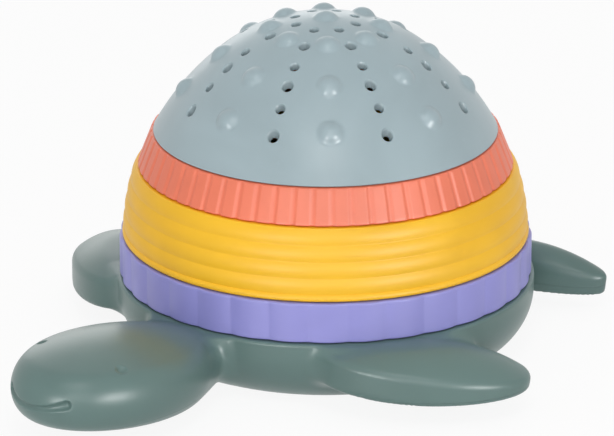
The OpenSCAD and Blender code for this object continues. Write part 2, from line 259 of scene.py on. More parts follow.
# On the level faces over and under the ribs, a groove is full this near to the side and ends this far in
GROOVE_FULL = 0.0004
GROOVE_REACH = 0.0012
LEVEL_NEAR = 0.0002

# Dome: a wide side arc and a rounder cap that share a tangent
DOME_FOOT_R = 0.0641
DOME_SIDE_R = 0.1
CAP_ANGLE = radians(51)
DOME_FLAT = 0.0005
DOME_EDGE_R = 0.0005
DROP_A = 2 - 2 * sin(CAP_ANGLE)
DROP_B = 2 * (DOME_FOOT_R * cos(CAP_ANGLE) + (DOME_H - DOME_SIDE_R) * (1 - sin(CAP_ANGLE)))
DROP_C = DOME_FOOT_R**2 + DOME_H**2 - 2 * DOME_H * DOME_SIDE_R
CAP_DROP = (sqrt(DROP_B**2 - 4 * DROP_A * DROP_C) - DROP_B) / (2 * DROP_A)
CAP_R = DOME_SIDE_R - CAP_DROP
CAP_Z = DOME_SEAT + DOME_H - CAP_R
SIDE_X = CAP_DROP * cos(CAP_ANGLE)
SIDE_Z = CAP_Z - CAP_DROP * sin(CAP_ANGLE)
CAP_FOOT_Z = CAP_Z + CAP_R * sin(CAP_ANGLE)

# Where the dome's outside turns into its foot, as shares of its edge's rounding
FOOT_TURN_IN = 0.5
FOOT_TURN_UP = 0.25
FOOT_FLAT_IN = 1.2

# Points round the dome, and rings of points on its outside and inside
DOME_AROUND = 400
CAP_RINGS = 64
SIDE_RINGS = 56
INNER_CAP_RINGS = 38
INNER_SIDE_RINGS = 34

# Bumps and drain holes: rows as angles over level
COLUMN_COUNT = 8
BUMP_ROWS = (radians(40.6), radians(51.7), radians(70.7))
LARGE_ROWS = (radians(39.0), radians(50.8), radians(69.0))
SMALL_ROWS = (radians(45.3), radians(58.9), radians(79.0))

# A bump's soft foot, and where it has run out; near the axis a bump lifts straight up
BUMP_SOFT = 0.0007
BUMP_FOOT_NEAR = 0.0042
BUMP_FOOT_FAR = 0.0078
BUMP_TOP_R = 0.003

# Drain holes: their bores lean toward the vertical, and their eased mouths stay square to the dome
HOLE_SIDES = 32
HOLE_LEAN = 0.38
HOLE_OVER = 0.0013
HOLE_UNDER = 0.0012
MOUTH_EASE = 0.0007
MOUTH_DEEP = 0.0009
MOUTH_SINK = 0.00065

# Plastic: the scale per metre, detail, roughness and distortion of each noise, and the range that shows
FLOW_NOISE = (16.0, 3.0, 0.55, 0.6)
FLOW_RANGE = (0.3, 0.7)
SPECK_NOISE = (420.0, 2.0, 0.5, 0.0)
SPECK_RANGE = (0.62, 0.8)
GRAIN_NOISE = (1500.0, 2.0, 0.6, 0.0)

# How much the noises change the colour, the roughness and the height
SPECK_SHOW = 0.25
FLOW_LIGHT = 1.06
FLOW_LIFT = 0.004
FLOW_DARK = 0.92
FLOW_ROUGH = 0.08
GRAIN_ROUGH = 0.06
GRAIN_HEIGHT = 0.3
SPECK_HEIGHT = 0.5
BUMP_STRENGTH = 0.35
BUMP_DISTANCE = 0.00006

# Finish of each moulding: roughness and index of refraction
PLASTIC_IOR = 1.47
SATIN_IOR = 1.4
BASE_ROUGH = 0.34
RING_ROUGH = 0.42
MIDDLE_ROUGH = 0.46
DOME_ROUGH = 0.32

# Parting line round the base: its height, its half width, where it starts outside the bowl, its mark
PARTING_Z = 0.0102
PARTING_WIDTH = (0.00012, 0.0005)
PARTING_START = (BOWL_R + 0.001, BOWL_R + 0.004)
PARTING_SHOW = 0.3
PARTING_DARK = 0.7
PARTING_HEIGHT = 2.2

# Drain holes are matt inside, and their colour is darkened there as painted shade, from a little under the
# dome's outside
BORE_RANGE = (0.0003, 0.001)
BORE_ROUGH = 0.4
BORE_PAINTED_SHADE = 0.72

# Floor: its size, its finish and the share of plain white in what is seen of it
FLOOR_R = 6.0
FLOOR_SIDES = 24
FLOOR_GREY = 0.97
FLOOR_ROUGH = 0.9
FLOOR_WHITE = 0.9

# Lamps: where each stands and its size, and for a panel its share of the panels' power
LAMP_AIM = (0, 0, 0.05)
FRONT_LAMP = ((1.0, -1.07, 0.55), 0.8)
HIGH_LAMP = ((0.55, -0.59, 1.15), 0.5)
PANELS = (
    ("side_panel", (1.29, -0.2, 0.1), 0.6, 2.2),
    ("nose_panel", (0.4, -1.24, 0.1), 0.36, 1.0),
    ("back_panel", (-1.25, 1.05, 0.25), 1.0, 0.34),
)

# Camera
CAMERA_AIM = (0, 0, 0.0463)
CAMERA_SHIFT = -0.0303
SENSOR_W = 36
VIEW_END = 50


def dome_bore(rise):
    """Inside radius of the dome at a height over its seat."""
    return sqrt((DOME_SIDE_R - WALL) ** 2 - (DOME_SEAT + rise - SIDE_Z) ** 2) - SIDE_X


def dome_point(angle, inset):
    """Radius and height on the dome at an angle over level, under its outside by the inset."""
    if angle < CAP_ANGLE:
        return (DOME_SIDE_R - inset) * cos(angle) - SIDE_X, SIDE_Z + (DOME_SIDE_R - inset) * sin(angle)
    return (CAP_R - inset) * cos(angle), CAP_Z + (CAP_R - inset) * sin(angle)


def dome_centre(on_side):
    """Inward shift, height and radius of the dome's arc: its side where on_side is 1, else its cap."""
    return on_side * SIDE_X, CAP_Z - on_side * (CAP_Z - SIDE_Z), CAP_R + on_side * CAP_DROP


def band_side(t):
    """Radius of the middle ring's side before its bands swell, from lip to top."""
    return LIP_FOOT_R + (BAND_TOP_R - LIP_FOOT_R) * t + 4 * BAND_BOW * t * (1 - t)


class Graph:
    """A node tree that is written as Python expressions."""

    def __init__(self, tree):
        self.tree = tree

    def node(self, kind, settings=None, sockets=None):
        """Adds a node: its settings first, then the values or links of its sockets."""
        made = self.tree.nodes.new(kind)
        for key, value in (settings or {}).items():
            setattr(made, key, value)
        for key, value in (sockets or {}).items():
            self.feed(made.inputs[key], value)
        return made

    def feed(self, socket, value):
        """Links a term or a list of terms, or sets a plain value on a socket."""
        if isinstance(value, list) and isinstance(value[0], Term):
            for term in value:
                self.tree.links.new(term.socket, socket)
        elif isinstance(value, Term):
            self.tree.links.new(value.socket, socket)
        else:
            socket.default_value = value

    def term(self, kind, output, settings=None, sockets=None):
        """Adds a node and gives one of its outputs as a term."""
        return Term(self, self.node(kind, settings, sockets).outputs[output])

    def mix(self, share, first, second):
        """Blends two colours by a share."""
        made = self.node("ShaderNodeMix", {"data_type": "RGBA"})
        for index, value in ((0, share), (6, first), (7, second)):
            self.feed(made.inputs[index], value)
        return Term(self, made.outputs[2])

    def ease(self, value, low, high):
        """Goes smoothly from 0 at low to 1 at high."""
        return self.term("ShaderNodeMapRange", "Result", {"interpolation_type": "SMOOTHSTEP"},
                         {"Value": value, "From Min": low, "From Max": high})

    def vector(self, x, y, z):
        return self.term("ShaderNodeCombineXYZ", 0, None, {0: x, 1: y, 2: z})


class Term:
    """A socket that Python operators turn into Math nodes."""

    def __init__(self, graph, socket):
        self.graph = graph
        self.socket = socket

    def math(self, operation, *values):
        return self.graph.term("ShaderNodeMath", 0, {"operation": operation}, dict(enumerate(values)))

    def __add__(self, other):
        return self.math("ADD", self, other)

    def __radd__(self, other):
        return self.math("ADD", other, self)

    def __sub__(self, other):
        return self.math("SUBTRACT", self, other)

    def __rsub__(self, other):
        return self.math("SUBTRACT", other, self)

    def __mul__(self, other):
        return self.math("MULTIPLY", self, other)

    def __rmul__(self, other):
        return self.math("MULTIPLY", other, self)

    def __truediv__(self, other):
        return self.math("DIVIDE", self, other)

    def __rtruediv__(self, other):
        return self.math("DIVIDE", other, self)

    def __mod__(self, other):
        return self.math("MODULO", self, other)

    def __pow__(self, other):
        return self.math("POWER", self, other)

    def __abs__(self):
        return self.math("ABSOLUTE", self)

    def root(self):
        return self.math("SQRT", self)

    def cosine(self):
        return self.math("COSINE", self)

    def sine(self):
        return self.math("SINE", self)

    def floor_part(self):
        return self.math("FLOOR", self)

    def fraction(self):
        return self.math("FRACT", self)

    def at_least(self, other):
        return self.math("MAXIMUM", self, other)

    def at_most(self, other):
        return self.math("MINIMUM", self, other)

    def below(self, other):
        return self.math("LESS_THAN", self, other)

    def parts(self):
        """The X, Y and Z of a vector."""
        made = self.graph.node("ShaderNodeSeparateXYZ", None, {0: self})
        return [Term(self.graph, out) for out in made.outputs]


class PlasticColours(bpy.types.PropertyGroup):
    """Colours of the five mouldings."""

    base: bpy.props.FloatVectorProperty(
        name="Base", description="Grey-green of the turtle base", subtype="COLOR",
        size=3, min=0, max=1, default=(0.120, 0.196, 0.184))
    lower: bpy.props.FloatVectorProperty(
        name="Lower ring", description="Lavender of the lower ring", subtype="COLOR",
        size=3, min=0, max=1, default=(0.290, 0.284, 0.668))
    middle: bpy.props.FloatVectorProperty(
        name="Middle ring", description="Yellow of the middle ring", subtype="COLOR",
        size=3, min=0, max=1, default=(0.965, 0.528, 0.015))
    upper: bpy.props.FloatVectorProperty(
        name="Upper ring", description="Coral of the upper ring", subtype="COLOR",
        size=3, min=0, max=1, default=(0.88, 0.206, 0.112))
    dome: bpy.props.FloatVectorProperty(
        name="Dome", description="Pale blue-grey of the dome", subtype="COLOR",
        size=3, min=0, max=1, default=(0.355, 0.452, 0.486))


class MouldDetails(bpy.types.PropertyGroup):
    """Sizes of the moulded details."""

    neck_fillet: bpy.props.FloatProperty(
        name="Neck fillet", description="Fillet between the head and the bowl",
        unit="LENGTH", default=0.006, min=0.002, max=0.009)
    front_fillet: bpy.props.FloatProperty(
        name="Front flipper fillet", description="Fillet between the front flippers and the bowl",
        unit="LENGTH", default=0.005, min=0.002, max=0.006)
    rear_fillet: bpy.props.FloatProperty(
        name="Rear flipper fillet", description="Fillet between the rear flippers and the bowl",
        unit="LENGTH", default=0.0016, min=0.0008, max=0.003)
    eye_radius: bpy.props.FloatProperty(
        name="Eye radius", description="Radius of an eye dimple's rim",
        unit="LENGTH", default=0.0022, min=0.0014, max=0.0026)
    smile_radius: bpy.props.FloatProperty(
        name="Smile radius", description="Radius of the smile groove",
        unit="LENGTH", default=0.0016, min=0.001, max=0.0018)
    band_bulge: bpy.props.FloatProperty(
        name="Band bulge", description="Swell of each band of the middle ring",
        unit="LENGTH", default=0.00058, min=0.0003, max=0.001)
    groove_width: bpy.props.FloatProperty(
        name="Groove width", description="Width of a groove between the upper ring's ribs",
        unit="LENGTH", default=0.0022, min=0.0014, max=0.0028)
    bump_radius: bpy.props.FloatProperty(
        name="Bump radius", description="Radius of a bump where it leaves the dome",
        unit="LENGTH", default=0.0044, min=0.004, max=0.005)
    bump_height: bpy.props.FloatProperty(
        name="Bump height", description="Height of a bump over the dome",
        unit="LENGTH", default=0.0024, min=0.0014, max=0.0024)
    large_hole: bpy.props.FloatProperty(
        name="Large hole", description="Mouth diameter of a large drain hole",
        unit="LENGTH", default=0.0046, min=0.004, max=0.005)
    small_hole: bpy.props.FloatProperty(
        name="Small hole", description="Mouth diameter of a small drain hole",
        unit="LENGTH", default=0.0038, min=0.0034, max=0.0044)
    hole_bore: bpy.props.FloatProperty(
        name="Hole bore", description="Diameter of a drain hole at the inside",
        unit="LENGTH", default=0.0028, min=0.0022, max=0.003)


class StudioSettings(bpy.types.PropertyGroup):
    """Camera and light of the stage."""

    elevation: bpy.props.FloatProperty(
        name="Elevation", description="Height of the camera over the level",
        subtype="ANGLE", default=radians(20.42))
    azimuth: bpy.props.FloatProperty(
        name="Azimuth", description="Turn of the camera from the head toward the turtle's left",
        subtype="ANGLE", default=radians(43))
    distance: bpy.props.FloatProperty(
        name="Distance", description="Distance of the camera from the stack",
        unit="LENGTH", default=2.0)
    lens: bpy.props.FloatProperty(
        name="Lens", description="Focal length in millimetres", unit="CAMERA", default=314.4)
    sky: bpy.props.FloatProperty(
        name="Sky", description="Strength of the even white surround", subtype="FACTOR",
        min=0, max=1, default=0.6)
    front: bpy.props.FloatProperty(
        name="Front", description="Power of the large front lamp", unit="POWER", default=4.6)
    high: bpy.props.FloatProperty(
        name="High", description="Power of the high front lamp", unit="POWER", default=3.0)
    panel: bpy.props.FloatProperty(
        name="Panels", description="Power that the panels, which only show in the gloss, take shares of",
        unit="POWER", default=9.0)


# Plastic

def noise(graph, place, scale, detail, roughness, distortion):
    """Noise through a piece."""
    return graph.term("ShaderNodeTexNoise", "Fac", None,
                      {"Vector": place, "Scale": scale, "Detail": detail,
                       "Roughness": roughness, "Distortion": distortion})


def shade(colour, share, lift=0.0):
    """A lighter or darker colour."""
    return [min(1.0, part * share + lift) for part in colour] + [1.0]


def parting_line(graph, place):
    """1 on the line where the two halves of the base's mould meet, outside the bowl."""
    x, y, z = place.parts()
    line = 1 - graph.ease(abs(z - PARTING_Z), *PARTING_WIDTH)
    return line * graph.ease((x * x + y * y).root(), *PARTING_START)


def dome_bores(graph, place):
    """1 under the dome's outside, in its drain holes, where the plastic is made matt and its colour is
    darkened as painted shade.
    """
    x, y, z = place.parts()
    shift, middle, arc_r = dome_centre(z.below(CAP_FOOT_Z))
    across = (x * x + y * y).root() + shift
    rise = z - middle
    return graph.ease(arc_r - (across * across + rise * rise).root(), *BORE_RANGE)


def moulded_plastic(name, colour, roughness, ior=PLASTIC_IOR, parted=False, pierced=False):
    """A satin moulding: flow marks, specks, fine grain and, where it has them, a parting line or matt bores
    with painted shade.
    """
    made = bpy.data.materials.new(name)
    made.use_nodes = True
    graph = Graph(made.node_tree)
    shader = made.node_tree.nodes["Principled BSDF"]
    place = graph.term("ShaderNodeTexCoord", "Object")
    flow = noise(graph, place, *FLOW_NOISE)
    speck = noise(graph, place, *SPECK_NOISE)
    grain = noise(graph, place, *GRAIN_NOISE)
    lighter = shade(colour, FLOW_LIGHT, FLOW_LIFT)
    tone = graph.mix(graph.ease(flow, *FLOW_RANGE), shade(colour, FLOW_DARK), lighter)
    tone = graph.mix(graph.ease(speck, *SPECK_RANGE) * SPECK_SHOW, tone, lighter)
    rough = roughness + (flow - 0.5) * FLOW_ROUGH + (grain - 0.5) * GRAIN_ROUGH
    height = grain * GRAIN_HEIGHT + speck * SPECK_HEIGHT
    if parted:
        line = parting_line(graph, place)
        tone = graph.mix(line * PARTING_SHOW, tone, shade(colour, PARTING_DARK))
        height = height + line * PARTING_HEIGHT
    if pierced:
        bore = dome_bores(graph, place)
        # Painted shade: the colour inside the drain holes is darkened where the bores lie in shade; the
        # roughness added below is their real matt finish
        tone = graph.mix(bore, tone, shade(colour, BORE_PAINTED_SHADE))
        rough = rough + bore * BORE_ROUGH
    bump = graph.term("ShaderNodeBump", "Normal", None,
                      {"Strength": BUMP_STRENGTH, "Distance": BUMP_DISTANCE, "Height": height})
    for socket, value in (("Base Color", tone), ("Roughness", rough), ("Normal", bump), ("IOR", ior)):
        graph.feed(shader.inputs[socket], value)
    return made


def mesh_object(name, points, faces):
    """A new object at the origin with its place in its mesh."""
    mesh = bpy.data.meshes.new(name)
    mesh.from_pydata(points, [], faces)
    mesh.update()
    made = bpy.data.objects.new(name, mesh)
    bpy.context.scene.collection.objects.link(made)
    return made


def finish_piece(made, body, node):
    """Rides on its body and stands for its solid, which it hides."""
    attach(made, body)
    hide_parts(node)


# Turned pieces

def rounded_corner(here, before, after, round_r):
    """Points of a rounded corner between the corners before and after it."""
    if round_r == 0:
        return [here]
    back = (before - here) / np.linalg.norm(before - here)
    on = (after - here) / np.linalg.norm(after - here)
    half = np.arccos(np.clip(back @ on, -1, 1)) / 2
    reach = round_r / np.tan(half)
    middle = (back + on) / np.linalg.norm(back + on)
    centre = here + middle * round_r / np.sin(half)
    start = here + back * reach - centre
    end = here + on * reach - centre
    sweep = np.arctan2(start[0] * end[1] - start[1] * end[0], start @ end)
    across = np.array((-start[1], start[0]))
    return [centre + start * cos(t) + across * sin(t) for t in np.linspace(0, sweep, CORNER_POINTS)]


def rounded_outline(corners, step):
    """Points of a closed section in radius and height, its sides divided, and 1 for each on an outer face.

    A corner is radius, height, rounding and 1 where the side after it is an outer face.
    """
    count = len(corners)
    places = [np.array(corner[:2]) for corner in corners]
    arcs = [rounded_corner(places[i], places[i - 1], places[(i + 1) % count], corners[i][2])
            for i in range(count)]
    points, outer = [], []
    for index, arc in enumerate(arcs):
        flag = corners[index][3]
        points.extend(arc)
        outer.extend([max(flag, corners[index - 1][3])] * len(arc))
        start, end = arc[-1], arcs[(index + 1) % count][0]
        cuts = max(1, int(np.ceil(np.linalg.norm(end - start) / step)))
        for cut in range(1, cuts):
            points.append(start + (end - start) * cut / cuts)
            outer.append(flag)
    return np.array(points), np.array(outer, float)


def foot_corners(seat, bore_r, outside_r, seam_r, round_r):
    """Corners of a piece's underside: it rests on its inner part and parts from its seat outside."""
    return [
        (bore_r, seat, BORE_EDGE_R, 0),
        (seam_r - SEAM_IN, seat, 0, 0),
        (seam_r - SEAM_IN, seat + SEAM_H, 0, 0),
        (outside_r, seat + SEAM_H, round_r, 1),
    ]


def collar_corners(seat, bore_r, bore_top_r):
    """Corners of a collar on a seat, from the seat's outside to its underside."""
    inner = bore_top_r - FIT_GAP - COLLAR_T
    return [
        (bore_r - FIT_GAP, seat, COLLAR_FOOT_R, 0),
        (bore_top_r - FIT_GAP, seat + COLLAR_H, COLLAR_TOP_R, 0),
        (inner, seat + COLLAR_H, COLLAR_TOP_R, 0),
        (inner, seat - SEAT_T, SEAT_EDGE_R, 0),
    ]


def outline_object(name, points, outer):
    """The section as a line of points that a turning tree reads."""
    made = mesh_object(name, [(r, 0, z) for r, z in points], [])
    flag = made.data.attributes.new("outer", "FLOAT", "POINT")
    flag.data.foreach_set("value", outer.astype(np.float32))
    return made


def turning_sizes(around, material, closed=1):
    """The named inputs that every turning tree has: each is a name, a kind of socket and a value."""
    return [
        ("Around", "NodeSocketInt", around),
        ("Closed", "NodeSocketInt", closed),
        ("Material", "NodeSocketMaterial", material),
    ]


def turning_tree(name, sizes, relief, after=None):
    """A tree that turns a section about the axis and presses a relief into its outer face.

    sizes are its named inputs. relief gives the new radius and height. after may cut the turned mesh.
    """
    tree = bpy.data.node_groups.new(name, "GeometryNodeTree")
    tree.is_modifier = True
    tree.interface.new_socket("Geometry", in_out="OUTPUT", socket_type="NodeSocketGeometry")
    tree.interface.new_socket("Geometry", in_out="INPUT", socket_type="NodeSocketGeometry")
    for label, kind, value in sizes:
        socket = tree.interface.new_socket(label, in_out="INPUT", socket_type=kind)
        socket.default_value = value
    graph = Graph(tree)
    given = graph.node("NodeGroupInput")
    inputs = {out.name: Term(graph, out) for out in given.outputs if out.name}
    section = inputs["Geometry"]
    count = graph.term("GeometryNodeAttributeDomainSize", "Point Count", {"component": "MESH"},
                       {"Geometry": section})
    along_count = count + inputs["Closed"]
    grid = graph.term("GeometryNodeMeshGrid", "Mesh", None,
                      {"Size X": 1.0, "Size Y": 1.0, "Vertices X": along_count,
                       "Vertices Y": inputs["Around"] + 1})
    across, around, _ = graph.term("GeometryNodeInputPosition", 0).parts()
    along = ((across + 0.5) * (along_count - 1) + 0.5).floor_part() % count
    turn = (around + 0.5) * (2 * pi) + HEAD_AXIS
    where = graph.term("GeometryNodeInputPosition", 0)
    flag = graph.term("GeometryNodeInputNamedAttribute", "Attribute", {"data_type": "FLOAT"},
                      {"Name": "outer"})
    corner = graph.term("GeometryNodeSampleIndex", 0, {"data_type": "FLOAT_VECTOR", "domain": "POINT"},
                        {"Geometry": section, "Value": where, "Index": along})
    outer = graph.term("GeometryNodeSampleIndex", 0, {"data_type": "FLOAT", "domain": "POINT"},
                       {"Geometry": section, "Value": flag, "Index": along})
    r, _, z = corner.parts()
    r, z = relief(graph, inputs, r, z, turn, outer)
    placed = graph.term("GeometryNodeSetPosition", 0, None,
                        {"Geometry": grid,
                         "Position": graph.vector(r * turn.cosine(), r * turn.sine(), z)})
    solid = graph.term("GeometryNodeMergeByDistance", 0, None, {"Geometry": placed, "Distance": WELD})
    if after:
        solid = after(graph, inputs, solid)
    smooth = graph.term("GeometryNodeSetShadeSmooth", 0, None, {"Geometry": solid})
    real = graph.term("GeometryNodeRealizeInstances", 0, None, {"Geometry": smooth})
    dressed = graph.term("GeometryNodeSetMaterial", 0, None,
                         {"Geometry": real, "Material": inputs["Material"]})
    graph.node("NodeGroupOutput", None, {"Geometry": dressed})
    return tree


def turned_piece(name, section, tree, sizes):
    """Runs a turning tree on a section and keeps the result as a plain mesh."""
    made = outline_object(name, *section)
    turner = made.modifiers.new("Turn", "NODES")
    turner.node_group = tree
    values = {label: value for label, _, value in sizes}
    for item in tree.interface.items_tree:
        if item.in_out == "INPUT" and item.name in values:
            turner[item.identifier] = values[item.name]
    evaluated = made.evaluated_get(bpy.context.evaluated_depsgraph_get())
    baked = bpy.data.meshes.new_from_object(evaluated)
    made.modifiers.clear()
    line = made.data
    made.data = baked
    bpy.data.meshes.remove(line)
    baked.name = name
    work = bmesh.new()
    work.from_mesh(baked)
    bmesh.ops.recalc_face_normals(work, faces=work.faces)
    work.to_mesh(baked)
    work.free()
    baked.set_sharp_from_angle(angle=SHARP_ANGLE)
    if not baked.polygons:
        raise RuntimeError(f"{name} came out empty")
    return made


def lobe_relief(graph, inputs, r, z, turn, outer):
    """Lobes: arcs that meet in valleys, one lobe on the head's axis."""
    pitch = 2 * pi / inputs["Lobes"]
    lobe = ((turn - HEAD_AXIS) / pitch + 0.5).fraction() * pitch - pitch * 0.5
    lobe_r = inputs["Lobe radius"]
    middle = inputs["Crest radius"] - lobe_r
    rise = (lobe_r * lobe_r - (middle * lobe.sine()) ** 2).root()
    offset = middle * lobe.cosine() + rise - inputs["Crest radius"]
    return r + offset * graph.ease(r, LOBE_ROOT_R, LOBE_VALLEY_R) * outer, z


def band_relief(graph, inputs, r, z, turn, outer):
    """Bands that swell like coils between soft valleys, over a narrower lip."""
    t = ((z - BAND_Z) / inputs["Band height"]).fraction()
    lip_t = ((z - MIDDLE_SEAT) / LIP_H).at_least(0.0).at_most(1.0)
    band = 4 * t * (1 - t) * inputs["Band bulge"]
    lip = 4 * lip_t * (1 - lip_t) * inputs["Lip bulge"]
    over_lip = graph.ease(z, BAND_Z - BAND_START_SOFT, BAND_Z + BAND_START_SOFT)
    under_top = 1 - graph.ease(z, UPPER_SEAT - BAND_END_SOFT, UPPER_SEAT - BAND_START_SOFT)
    return r + outer * (band * over_lip * under_top + lip * (1 - over_lip)), z


def rib_relief(graph, inputs, r, z, turn, outer):
    """Ribs parted by narrow grooves with eased edges."""
    pitch = 2 * pi / inputs["Ribs"]
    groove = abs(((turn - HEAD_AXIS) / pitch).fraction() - 0.5) * pitch * r
    half = inputs["Groove width"] * 0.5
    depth = (1 - graph.ease(groove, half * GROOVE_FLAT, half * GROOVE_OUT)) * inputs["Groove depth"]
    side = r - (RIB_FOOT_R + (z - UPPER_SEAT) * UPPER_LEAN)
    return r - depth * outer * graph.ease(side, -GROOVE_REACH, -GROOVE_FULL), z


def dome_ring(graph, columns, angle, turn):
    """One row of points on the dome at an angle over level, with a turn from the head's axis."""
    shift, height, arc_r = dome_centre(angle.below(CAP_ANGLE))
    ring = graph.term("GeometryNodeMeshCircle", 0, None,
                      {"Vertices": columns, "Radius": angle.cosine() * arc_r - shift})
    lift = graph.vector(0.0, 0.0, angle.sine() * arc_r + height)
    swing = graph.vector(0.0, 0.0, turn + HEAD_AXIS)
    return graph.term("GeometryNodeTransform", 0, None,
                      {"Geometry": ring, "Translation": lift, "Rotation": swing})


def bump_relief(graph, inputs, r, z, turn, outer):
    """Round bumps in rows, with a soft foot where each leaves the dome, and one on the top."""
    rows = [dome_ring(graph, inputs["Columns"], inputs[f"Bump row {i}"], 0.0) for i in (1, 2, 3)]
    top = graph.term("GeometryNodeMeshLine", 0, None,
                     {"Count": 1, "Start Location": (0, 0, DOME_SEAT + DOME_H)})
    points = graph.term("GeometryNodeJoinGeometry", 0, None, {"Geometry": rows + [top]})
    here = graph.vector(r * turn.cosine(), r * turn.sine(), z)
    gap = graph.term("GeometryNodeProximity", "Distance", {"target_element": "POINTS"},
                     {0: points, "Sample Position": here})
    rim, high = inputs["Bump radius"], inputs["Bump height"]
    ball = (rim * rim + high * high) / (high * 2)
    cap = (ball * ball - gap * gap).at_least(0.0).root() - ball + high
    soft = BUMP_SOFT * BUMP_SOFT
    fade = 1 - graph.ease(gap, BUMP_FOOT_NEAR, BUMP_FOOT_FAR)
    lift = (cap + (cap * cap + soft).root()) * 0.5 * fade * outer
    # The soft foot raises the top a little too, so the lift is brought back to the bump's height
    lift = lift * high / ((high * high + soft).root() * 0.5 + high * 0.5)
    shift, height, arc_r = dome_centre(z.below(CAP_FOOT_Z))
    lean = (r + shift) / arc_r * graph.ease(r, 0.0, BUMP_TOP_R)
    return r + lean * lift, z + (z - height) / arc_r * lift


def hole_cutter(graph, top_r, foot_r, deep, sink):
    """A tapered cutter whose foot lies under the dome's outside by the sink."""
    cone = graph.term("GeometryNodeMeshCone", 0, None,
                      {"Vertices": HOLE_SIDES, "Radius Top": top_r, "Radius Bottom": foot_r, "Depth": deep})
    return graph.term("GeometryNodeTransform", 0, None, {"Geometry": cone, "Translation": (0, 0, -sink)})


def pierce(graph, inputs, solid):
    """Cuts the rows of tapered drain holes, then eases their mouths."""
    columns, bore_r = inputs["Columns"], inputs["Hole bore"] * 0.5
    for kind in ("Large", "Small"):
        mouth_r = inputs[f"{kind} hole"] * 0.5
        rows = [dome_ring(graph, columns, inputs[f"{kind} row {i}"], pi / columns) for i in (1, 2, 3)]
        points = graph.term("GeometryNodeJoinGeometry", 0, None, {"Geometry": rows})
        x, y, z = graph.term("GeometryNodeInputPosition", 0).parts()
        reach = (x * x + y * y).root()
        shift, height, _ = dome_centre(z.below(CAP_FOOT_Z))
        out_x, out_y = x * (reach + shift) / reach, y * (reach + shift) / reach
        flare = (mouth_r - bore_r) / WALL
        taper = hole_cutter(graph, mouth_r + flare * HOLE_OVER, bore_r - flare * HOLE_UNDER,
                            WALL + HOLE_OVER + HOLE_UNDER, WALL + HOLE_UNDER)
        ease = hole_cutter(graph, mouth_r + MOUTH_EASE, mouth_r - MOUTH_EASE, MOUTH_DEEP, MOUTH_SINK)
        for cutter, lean in ((taper, HOLE_LEAN), (ease, 1.0)):
            way = graph.term("FunctionNodeAlignRotationToVector", 0, {"axis": "Z"},
                             {"Vector": graph.vector(out_x * lean, out_y * lean, z - height)})
            set_out = graph.term("GeometryNodeInstanceOnPoints", 0, None,
                                 {"Points": points, "Instance": cutter, "Rotation": way})
            cuts = graph.term("GeometryNodeRealizeInstances", 0, None, {"Geometry": set_out})
            solid = graph.term("GeometryNodeMeshBoolean", 0,
                               {"operation": "DIFFERENCE", "solver": "MANIFOLD"},
                               {"Mesh 1": solid, "Mesh 2": cuts})
    return solid


# The turtle base: one moulded skin from blended forms

def round_max(a, b, r):
    """Where two forms overlap, with the edge between them rounded."""
    return np.minimum(np.maximum(a, b), -r) + np.hypot(np.maximum(a + r, 0), np.maximum(b + r, 0))


def round_min(a, b, r):
    """Two forms joined, with a fillet between them."""
    return np.maximum(np.minimum(a, b), r) - np.hypot(np.maximum(r - a, 0), np.maximum(r - b, 0))


def toward_head(points):
    """How far points lie toward the head, and toward the turtle's left."""
    forward = points[:, 0] * cos(HEAD_WAY) + points[:, 1] * sin(HEAD_WAY)
    left = points[:, 1] * cos(HEAD_WAY) - points[:, 0] * sin(HEAD_WAY)
    return forward, left


def head_axes(points):
    """Points in the head's own axes."""
    forward, left = toward_head(points)
    forward = forward - HEAD_REACH
    up = points[:, 2] - HEAD_MID_Z
    return (forward * cos(HEAD_LIFT) + up * sin(HEAD_LIFT), left,
            up * cos(HEAD_LIFT) - forward * sin(HEAD_LIFT))


def head_form(u, v, w):
    """Distance to the head: oval in plan, crowned above and below, round at its edge."""
    reach = np.hypot(u, v / HEAD_SLIM) + TINY
    spread = np.sqrt(u**2 + (v / HEAD_SLIM**2) ** 2) / reach
    rise = np.abs(w) + HEAD_CROWN_SINK
    at_edge = reach * HEAD_CROWN_SINK > HEAD_EDGE_X * rise
    across = np.where(at_edge, reach - HEAD_EDGE_X, reach)
    rise = np.where(at_edge, np.abs(w), rise)
    ball = np.hypot(across, rise) + TINY
    steep = np.hypot(across / ball * spread, rise / ball)
    return (ball - np.where(at_edge, HEAD_EDGE_R, HEAD_CROWN_R)) / np.maximum(steep, STEEP_LEAST)


def neck_form(points):
    """Distance to the neck."""
    forward, left = toward_head(points)
    side = round_max(np.abs(left) - NECK_HALF_W, np.abs(points[:, 2] - NECK_Z) - NECK_HALF_T, NECK_CORNER_R)
    return np.maximum(side, np.maximum(NECK_START - forward, forward - HEAD_REACH))


def smile_gap(u, v, w, radius):
    """Distance to the smile's groove, which is wider toward its corners."""
    fore, up = u - SMILE_MID_X, w - SMILE_MID_UP
    x = fore * cos(SMILE_LEAN) - up * sin(SMILE_LEAN) + SMILE_ARC_R
    z = fore * sin(SMILE_LEAN) + up * cos(SMILE_LEAN)
    turn = np.clip(np.arctan2(v, x), -SMILE_ANGLE, SMILE_ANGLE)
    gap = np.sqrt((x - SMILE_ARC_R * np.cos(turn)) ** 2 + (v - SMILE_ARC_R * np.sin(turn)) ** 2 + z**2)
    return gap - radius * (SMILE_MID_WIDTH + SMILE_CORNER_GAIN * (turn / SMILE_ANGLE) ** 2)


def eye_gap(u, v, w, radius):
    """Distance to the ball that presses each eye's dimple."""
    rise = sqrt(HEAD_CROWN_R**2 - EYE_FORWARD**2 - (EYE_SIDE / HEAD_SLIM) ** 2)
    slope = np.array((EYE_FORWARD, EYE_SIDE / HEAD_SLIM**2, rise))
    deep = radius * EYE_DEEP
    ball = (radius**2 + deep**2) / (2 * deep)
    place = np.array((EYE_FORWARD, EYE_SIDE, rise - HEAD_CROWN_SINK))
    centre = place + slope / np.linalg.norm(slope) * (ball - deep)
    return np.sqrt((u - centre[0]) ** 2 + (np.abs(v) - centre[1]) ** 2 + (w - centre[2]) ** 2) - ball


